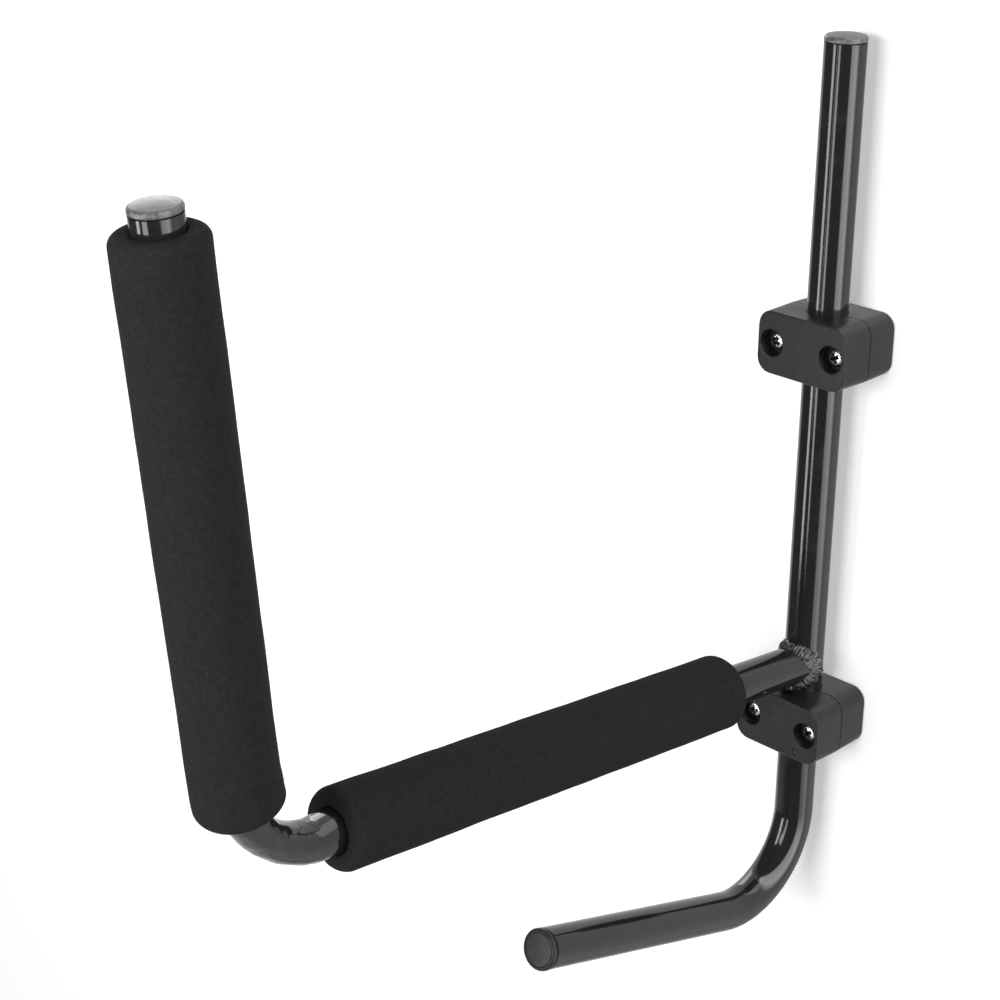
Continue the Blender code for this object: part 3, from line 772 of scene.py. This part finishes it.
# A rib's section, in shares of its width and its height.
CAP_RIB_SECTION = ((-0.5, 0.0), (-0.1, 1.0), (0.1, 1.0), (0.5, 0.0))
CAP_GREY = (0.066, 0.066, 0.067, 1.0)
CAP_GREY_PALE = (0.160, 0.160, 0.162, 1.0)
CAP_WEAR = 420.0
CAP_SPECULAR = 0.6
LEG_CAP_BLACK = (0.010, 0.010, 0.0105, 1.0)
LEG_CAP_WORN = (0.028, 0.028, 0.029, 1.0)
LEG_CAP_WEAR = 500.0
LEG_CAP_SPECULAR = 0.25
CAP_WEAR_SPAN = (0.42, 0.66)
CAP_ROUGHNESS = 0.34
CAP_WEAR_DULLING = 0.16
CAP_GRAIN = 800.0
CAP_RELIEF = 0.00014


def cap_plastic(name, plain, worn, wear_scale, specular):
    """Satin moulded plastic, mottled where it has been handled."""
    made = Finish(name, Specular_IOR_Level=specular)
    place = made.place()
    mottle = made.cloud(place, wear_scale, detail=5.0, roughness=0.65)
    mottle = made.between(mottle, *CAP_WEAR_SPAN)
    made.drive(
        Base_Color=made.blend(mottle, plain, worn),
        Roughness=CAP_ROUGHNESS + CAP_WEAR_DULLING * mottle,
        Normal=made.bump(made.cloud(place, CAP_GRAIN, detail=4.0), CAP_RELIEF),
    )
    return made.material


def cap_rings(crown, groove=False):
    """A cap about Z, its stem down in the bore and its head just off the tube's end."""
    outer = BORE_RADIUS - SEAT_GAP - CAP_RIB
    inner = outer - CAP_STEM_WALL
    profile = [(0.0, -SEAT_GAP), (inner, -SEAT_GAP), (inner, -CAP_STEM), (outer, -CAP_STEM)]
    for rib in range(CAP_RIBS):
        middle = CAP_STEM * ((rib + 1) / (CAP_RIBS + 1) - 1.0)
        for offset, proud in CAP_RIB_SECTION:
            profile.append((outer + proud * CAP_RIB, middle + offset * CAP_RIB_WIDTH))
    head = TUBE_RADIUS + CAP_OVERHANG
    top = SEAT_GAP + CAP_RIM
    profile += [(outer, SEAT_GAP), (head - CAP_UNDERCUT, SEAT_GAP), (head, SEAT_GAP + CAP_UNDERCUT)]
    for step in range(CAP_EDGE_STEPS + 1):
        angle = 0.5 * pi * step / CAP_EDGE_STEPS
        inset, drop = CAP_EDGE * (1.0 - cos(angle)), CAP_EDGE * (1.0 - sin(angle))
        profile.append((head - inset, top - drop))
    flat = head - CAP_EDGE
    if groove:
        flat = head - LEG_GROOVE_INSET
        for offset, depth in LEG_GROOVE_SECTION:
            profile.append((flat + offset * LEG_GROOVE, top - depth * LEG_GROOVE))
        flat -= LEG_GROOVE
    for step in range(1, CAP_CROWN_STEPS + 1):
        share = 1.0 - step / CAP_CROWN_STEPS
        profile.append((flat * share, top + crown * (1.0 - share**2)))
    return turned(profile, CAP_SIDES)


def add_cap(node, rings, material, line, distance):
    """A cap on one end of a tube, in place of its plain solid."""
    point, forward, outward = line.axes(distance)
    facing = forward if distance else -forward
    cap = skin(node + "_moulded", rings, material)
    tilt = facing.to_track_quat("Z", "X").to_matrix().to_4x4()
    cap.matrix_world = Matrix.Translation(point) @ tilt
    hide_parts(node)
    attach(cap, "swing_arm")


top_plastic = cap_plastic("tube_cap_plastic", CAP_GREY, CAP_GREY_PALE, CAP_WEAR, CAP_SPECULAR)
leg_plastic = cap_plastic(
    "leg_cap_plastic", LEG_CAP_BLACK, LEG_CAP_WORN, LEG_CAP_WEAR, LEG_CAP_SPECULAR
)
add_cap("upright_cap", cap_rings(CAP_CROWN), top_plastic, upright_line, 0.0)
add_cap("post_cap", cap_rings(CAP_CROWN), top_plastic, arm_line, arm_line.length)
leg_rings = cap_rings(LEG_CAP_CROWN, groove=True)
add_cap("leg_cap", leg_rings, leg_plastic, upright_line, upright_line.length)

# The foam sleeves. Lengths of closed-cell foam pipe, cut off and pushed along the tube before its
# cap went on. Their cut ends have rounded over, and the post's rides up a little on the elbow.
FOAM_WALL = 0.0102
FOAM_EDGE = 0.0055
FOAM_EDGE_STEPS = 10
ARM_FOAM_FROM_UPRIGHT = 0.0830
ARM_FOAM_FROM_ELBOW = 0.0120
POST_FOAM_ONTO_ELBOW = 0.0130
POST_FOAM_FROM_END = 0.0082
POST_FOAM_SLANT = 0.12
POST_FOAM_STAND_OFF = 0.0012
# The bore's edge is worn open by this much, with rings at these shares of that depth.
FOAM_WORN = 0.0009
FOAM_WORN_STEPS = (0.0, 0.25, 0.5, 0.75, 1.0)
FOAM_PITCH = 0.0040
FOAM_DENT = 0.00035
FOAM_DENT_SCALE = 45.0
FOAM_CREASE = radians(60)
FOAM_BLACK = (0.0185, 0.0185, 0.0190, 1.0)
FOAM_GREY = (0.0285, 0.0285, 0.0290, 1.0)
FOAM_SPECULAR = 0.05
FOAM_ROUGHNESS = 0.88
FOAM_CELLS = 1500.0
FOAM_PITS = 1100.0
FOAM_PIT_SPAN = (0.60, 0.72)
FOAM_RELIEF = 0.00022
FOAM_BLOOM = 420.0
FOAM_BLOOM_SPAN = (0.42, 0.72)
FOAM_BLOOM_DULLING = 0.08


def closed_cell_foam():
    """Matt black foam: a skin of tiny cells, with open ones and a grey bloom here and there."""
    made = Finish("foam_black", Specular_IOR_Level=FOAM_SPECULAR)
    place = made.place()
    cells = made.node("TexVoronoi", {}, {"Vector": place, "Scale": FOAM_CELLS})
    pits = made.between(made.cloud(place, FOAM_PITS), *FOAM_PIT_SPAN)
    bloom = made.cloud(place, FOAM_BLOOM, detail=4.0, roughness=0.7)
    bloom = made.between(bloom, *FOAM_BLOOM_SPAN)
    made.drive(
        Base_Color=made.blend(bloom * (1.0 - pits), FOAM_BLACK, FOAM_GREY),
        Roughness=FOAM_ROUGHNESS + FOAM_BLOOM_DULLING * bloom,
        Normal=made.bump(cells - pits, FOAM_RELIEF),
    )
    return made.material


def sleeve(first, last, stand_off=0.0, slant=0.0):
    """Rings of a sleeve on the arm's tube, out along its skin and back along its bore.

    Its first end tips by a slant that dies out with the bend, where it stands off the inside.
    """
    bore = TUBE_RADIUS + SEAT_GAP
    full = bore + FOAM_WALL
    edge = []
    for step in range(FOAM_EDGE_STEPS + 1):
        angle = 0.5 * pi * step / FOAM_EDGE_STEPS
        edge.append((FOAM_EDGE * (1.0 - sin(angle)), full - FOAM_EDGE * (1.0 - cos(angle))))
    worn = [(FOAM_WORN * depth, bore + FOAM_WORN * (1.0 - depth) ** 2) for depth in FOAM_WORN_STEPS]
    body = arm_line.stops(first + FOAM_EDGE, last - FOAM_EDGE, FOAM_PITCH)[1:-1]
    outside = [(first + inset, radius) for inset, radius in worn[::-1] + edge[::-1]]
    outside += [(stop, full) for stop in body]
    outside += [(last - inset, radius) for inset, radius in edge + worn]

    def lifted_reach(stop, radius):
        lifted = radius + stand_off * squeeze_fade(stop)
        return lambda angle: (lifted if cos(angle) < 0.0 else radius, radius)

    def placed(stop, reach, dent):
        tip = slant * max(arm_line.bend_end - stop, 0.0) / (arm_line.bend_end - first)
        middle, forward, outward = arm_line.axes(stop)
        ring = []
        for point in arm_line.ring(stop, reach):
            away = point - middle
            point = point + tip * away.dot(outward) * forward
            ring.append(point + dent * noise.noise(point * FOAM_DENT_SCALE) * away.normalized())
        return ring

    rings = []
    for stop, radius in outside:
        rings.append(placed(stop, lifted_reach(stop, radius), FOAM_DENT))
    inner_stops = arm_line.stops(first + 2.0 * FOAM_WORN, last - 2.0 * FOAM_WORN, STRAIGHT_PITCH)
    for stop in reversed(inner_stops):
        rings.append(placed(stop, pressed_reach(stop, bore), 0.0))
    return rings


def add_foam(node, rings, material):
    """A foam sleeve, in place of its plain solid."""
    foam = skin(node + "_sleeve", rings, material, closed=True, crisp=FOAM_CREASE)
    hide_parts(node)
    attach(foam, "swing_arm")


black_foam = closed_cell_foam()
arm_end = arm_line.bend_start - ARM_FOAM_FROM_ELBOW
add_foam("arm_foam", sleeve(ARM_FOAM_FROM_UPRIGHT, arm_end), black_foam)
post_start = arm_line.bend_end - POST_FOAM_ONTO_ELBOW
post_end = arm_line.length - POST_FOAM_FROM_END
post_rings = sleeve(post_start, post_end, POST_FOAM_STAND_OFF, POST_FOAM_SLANT)
add_foam("post_foam", post_rings, black_foam)

# The wall and the floor. A white painted wall that the rack hangs on, and a pale floor far below
# it. The wall is clear from behind, so that the backs of the clamps can be looked at.
WALL_Y = 0.0004
WALL_REACH = 3.0
FLOOR_Z = -1.6
FLOOR_REACH = 12.0
STAGE_ALBEDO = 0.88
WALL_GLOW = 0.33
FLOOR_GLOW = 0.62
BLACK = (0.0, 0.0, 0.0, 1.0)


def stage_paint(name, share):
    """White paint that keeps a share of its white in the shade, and is clear from behind."""
    paint = (STAGE_ALBEDO, STAGE_ALBEDO, STAGE_ALBEDO, 1.0)
    made = Finish(name, Base_Color=paint, Roughness=1.0, Specular_IOR_Level=0.0)
    seen = made.node("LightPath", {}, {}, "Is Camera Ray")
    mirrored = made.node("LightPath", {}, {}, "Is Glossy Ray")
    passed = made.node("LightPath", {}, {}, "Is Transmission Ray")
    glow = made.blend(seen + mirrored + passed, BLACK, (share, share, share, 1.0))
    made.drive(Emission_Color=glow, Emission_Strength=1.0)
    behind = made.node("NewGeometry", {}, {}, "Backfacing")
    clear = made.node("BsdfTransparent", {}, {})
    painted = Wire(made.shader.outputs[0])
    mixed = made.node("MixShader", {}, {"Fac": behind, "Shader": painted, "Shader_001": clear})
    plug(mixed, made.tree.nodes["Material Output"].inputs["Surface"])
    return made.material


def add_stage(name, share, corners):
    """A flat piece of the stage through these corners, seen only by the camera."""
    mesh = bpy.data.meshes.new(name)
    mesh.from_pydata(corners, [], [range(len(corners))])
    mesh.materials.append(stage_paint(name + "_white", share))
    flat = bpy.data.objects.new(name, mesh)
    bpy.context.scene.collection.objects.link(flat)
    for rays in ("diffuse", "glossy", "transmission", "shadow"):
        setattr(flat, "visible_" + rays, False)


r, y, z = WALL_REACH, WALL_Y, FLOOR_Z
add_stage("wall", WALL_GLOW, [(-r, y, z), (r, y, z), (r, y, r), (-r, y, r)])
r = FLOOR_REACH
add_stage("floor", FLOOR_GLOW, [(-r, -r, z), (r, -r, z), (r, r, z), (-r, r, z)])

# The studio. Two tall softboxes in front draw the streaks on the tubes, two more catch on the
# caps and the elbow, and a soft key and a fill light what is matt. The wall side is white, the
# room is dark, and a tall window at the right fades towards the floor, which is lit in front.
LAMPS = (
    # name, azimuth, elevation, distance, width, height, power, what it lights
    ("softbox_right", 4.0, -3.0, 2.2, 0.70, 1.86, 24.5, "glossy"),
    ("softbox_left", -22.6, -3.0, 2.2, 0.48, 1.86, 23.0, "glossy"),
    ("softbox_top", 150.0, 60.0, 1.6, 1.2, 1.2, 7.0, "glossy"),
    ("softbox_back", 243.0, 22.0, 2.2, 0.9, 1.1, 10.0, "glossy"),
    ("fill", 108.0, 25.0, 2.2, 1.0, 1.0, 27.0, "diffuse"),
    ("key", 4.5, 15.0, 2.4, 1.6, 0.9, 51.0, "diffuse"),
)
AIMED_AT = Vector((0.0, -0.15, 0.15))
AMBIENT = 0.38
DARK_ROOM = 0.10
# Spans of azimuth are turned from straight ahead, to the right, and spans of height are the sine
# of the angle above the horizon.
WALL_SIDE = (-0.05, 0.05)
SHADED_WALL = 0.45
SHADED_TURN = (radians(140), radians(165))
SHADED_HEIGHT = (0.05, -0.05)
WINDOW = 5.0
WINDOW_START = (radians(68), radians(74))
WINDOW_END = (radians(103), radians(115))
WINDOW_HEIGHT = (-0.62, -0.25)
LIT_FLOOR = 0.9
LIT_FLOOR_HEIGHT = (-0.56, -0.66)
# The lit floor's edge lies a little higher at the left.
LEFT_RISE = 0.10
LEFT_TURN = (radians(-20), radians(-35))

for name, azimuth, elevation, distance, width, height, power, lights in LAMPS:
    light = bpy.data.lights.new(name, "AREA")
    light.shape = "RECTANGLE"
    light.size = width
    light.size_y = height
    light.energy = power
    lamp = bpy.data.objects.new(name, light)
    bpy.context.scene.collection.objects.link(lamp)
    turn, rise = radians(azimuth), radians(elevation)
    away = Vector((sin(turn) * cos(rise), -cos(turn) * cos(rise), sin(rise)))
    lamp.location = AIMED_AT + distance * away
    lamp.rotation_mode = "QUATERNION"
    lamp.rotation_quaternion = away.to_track_quat("Z", "Y")
    lamp.visible_camera = False
    lamp.visible_glossy = lights != "diffuse"
    lamp.visible_diffuse = lights != "glossy"


class Studio(Finish):
    """The nodes round the world's Background shader."""

    def __init__(self, world):
        world.use_nodes = True
        self.tree = world.node_tree
        self.shader = self.tree.nodes["Background"]


world = bpy.data.worlds.new("studio")
bpy.context.scene.world = world
made = Studio(world)
direction = made.node("TexCoord", {}, {}, "Generated")
east = made.node("SeparateXYZ", {}, {"Vector": direction}, "X")
north = made.node("SeparateXYZ", {}, {"Vector": direction}, "Y")
height = made.node("SeparateXYZ", {}, {"Vector": direction}, "Z")
azimuth = east.maths("ARCTAN2", east, 0.0 - north)
window = made.between(azimuth, *WINDOW_START) * made.between(azimuth, *WINDOW_END, 1.0, 0.0)
window = window * made.between(height, *WINDOW_HEIGHT)
shaded = made.between(abs(azimuth), *SHADED_TURN, 0.0, SHADED_WALL)
shaded = shaded * made.between(height, *SHADED_HEIGHT)
edge = height - LEFT_RISE * made.between(azimuth, *LEFT_TURN)
lit_floor = made.between(edge, *LIT_FLOOR_HEIGHT, 0.0, LIT_FLOOR)
wall_side = made.between(north, *WALL_SIDE)
mirrored = DARK_ROOM + (1.0 - DARK_ROOM - shaded) * wall_side + WINDOW * window
mirrored = mirrored + lit_floor * (1.0 - wall_side)
is_seen = made.node("LightPath", {}, {}, "Is Camera Ray")
is_mirrored = made.node("LightPath", {}, {}, "Is Glossy Ray")
glow = is_seen + (1.0 - is_seen) * (is_mirrored * mirrored + (1.0 - is_mirrored) * AMBIENT)
made.drive(Color=(1.0, 1.0, 1.0, 1.0), Strength=glow)

bpy.context.scene.view_settings.view_transform = "Standard"
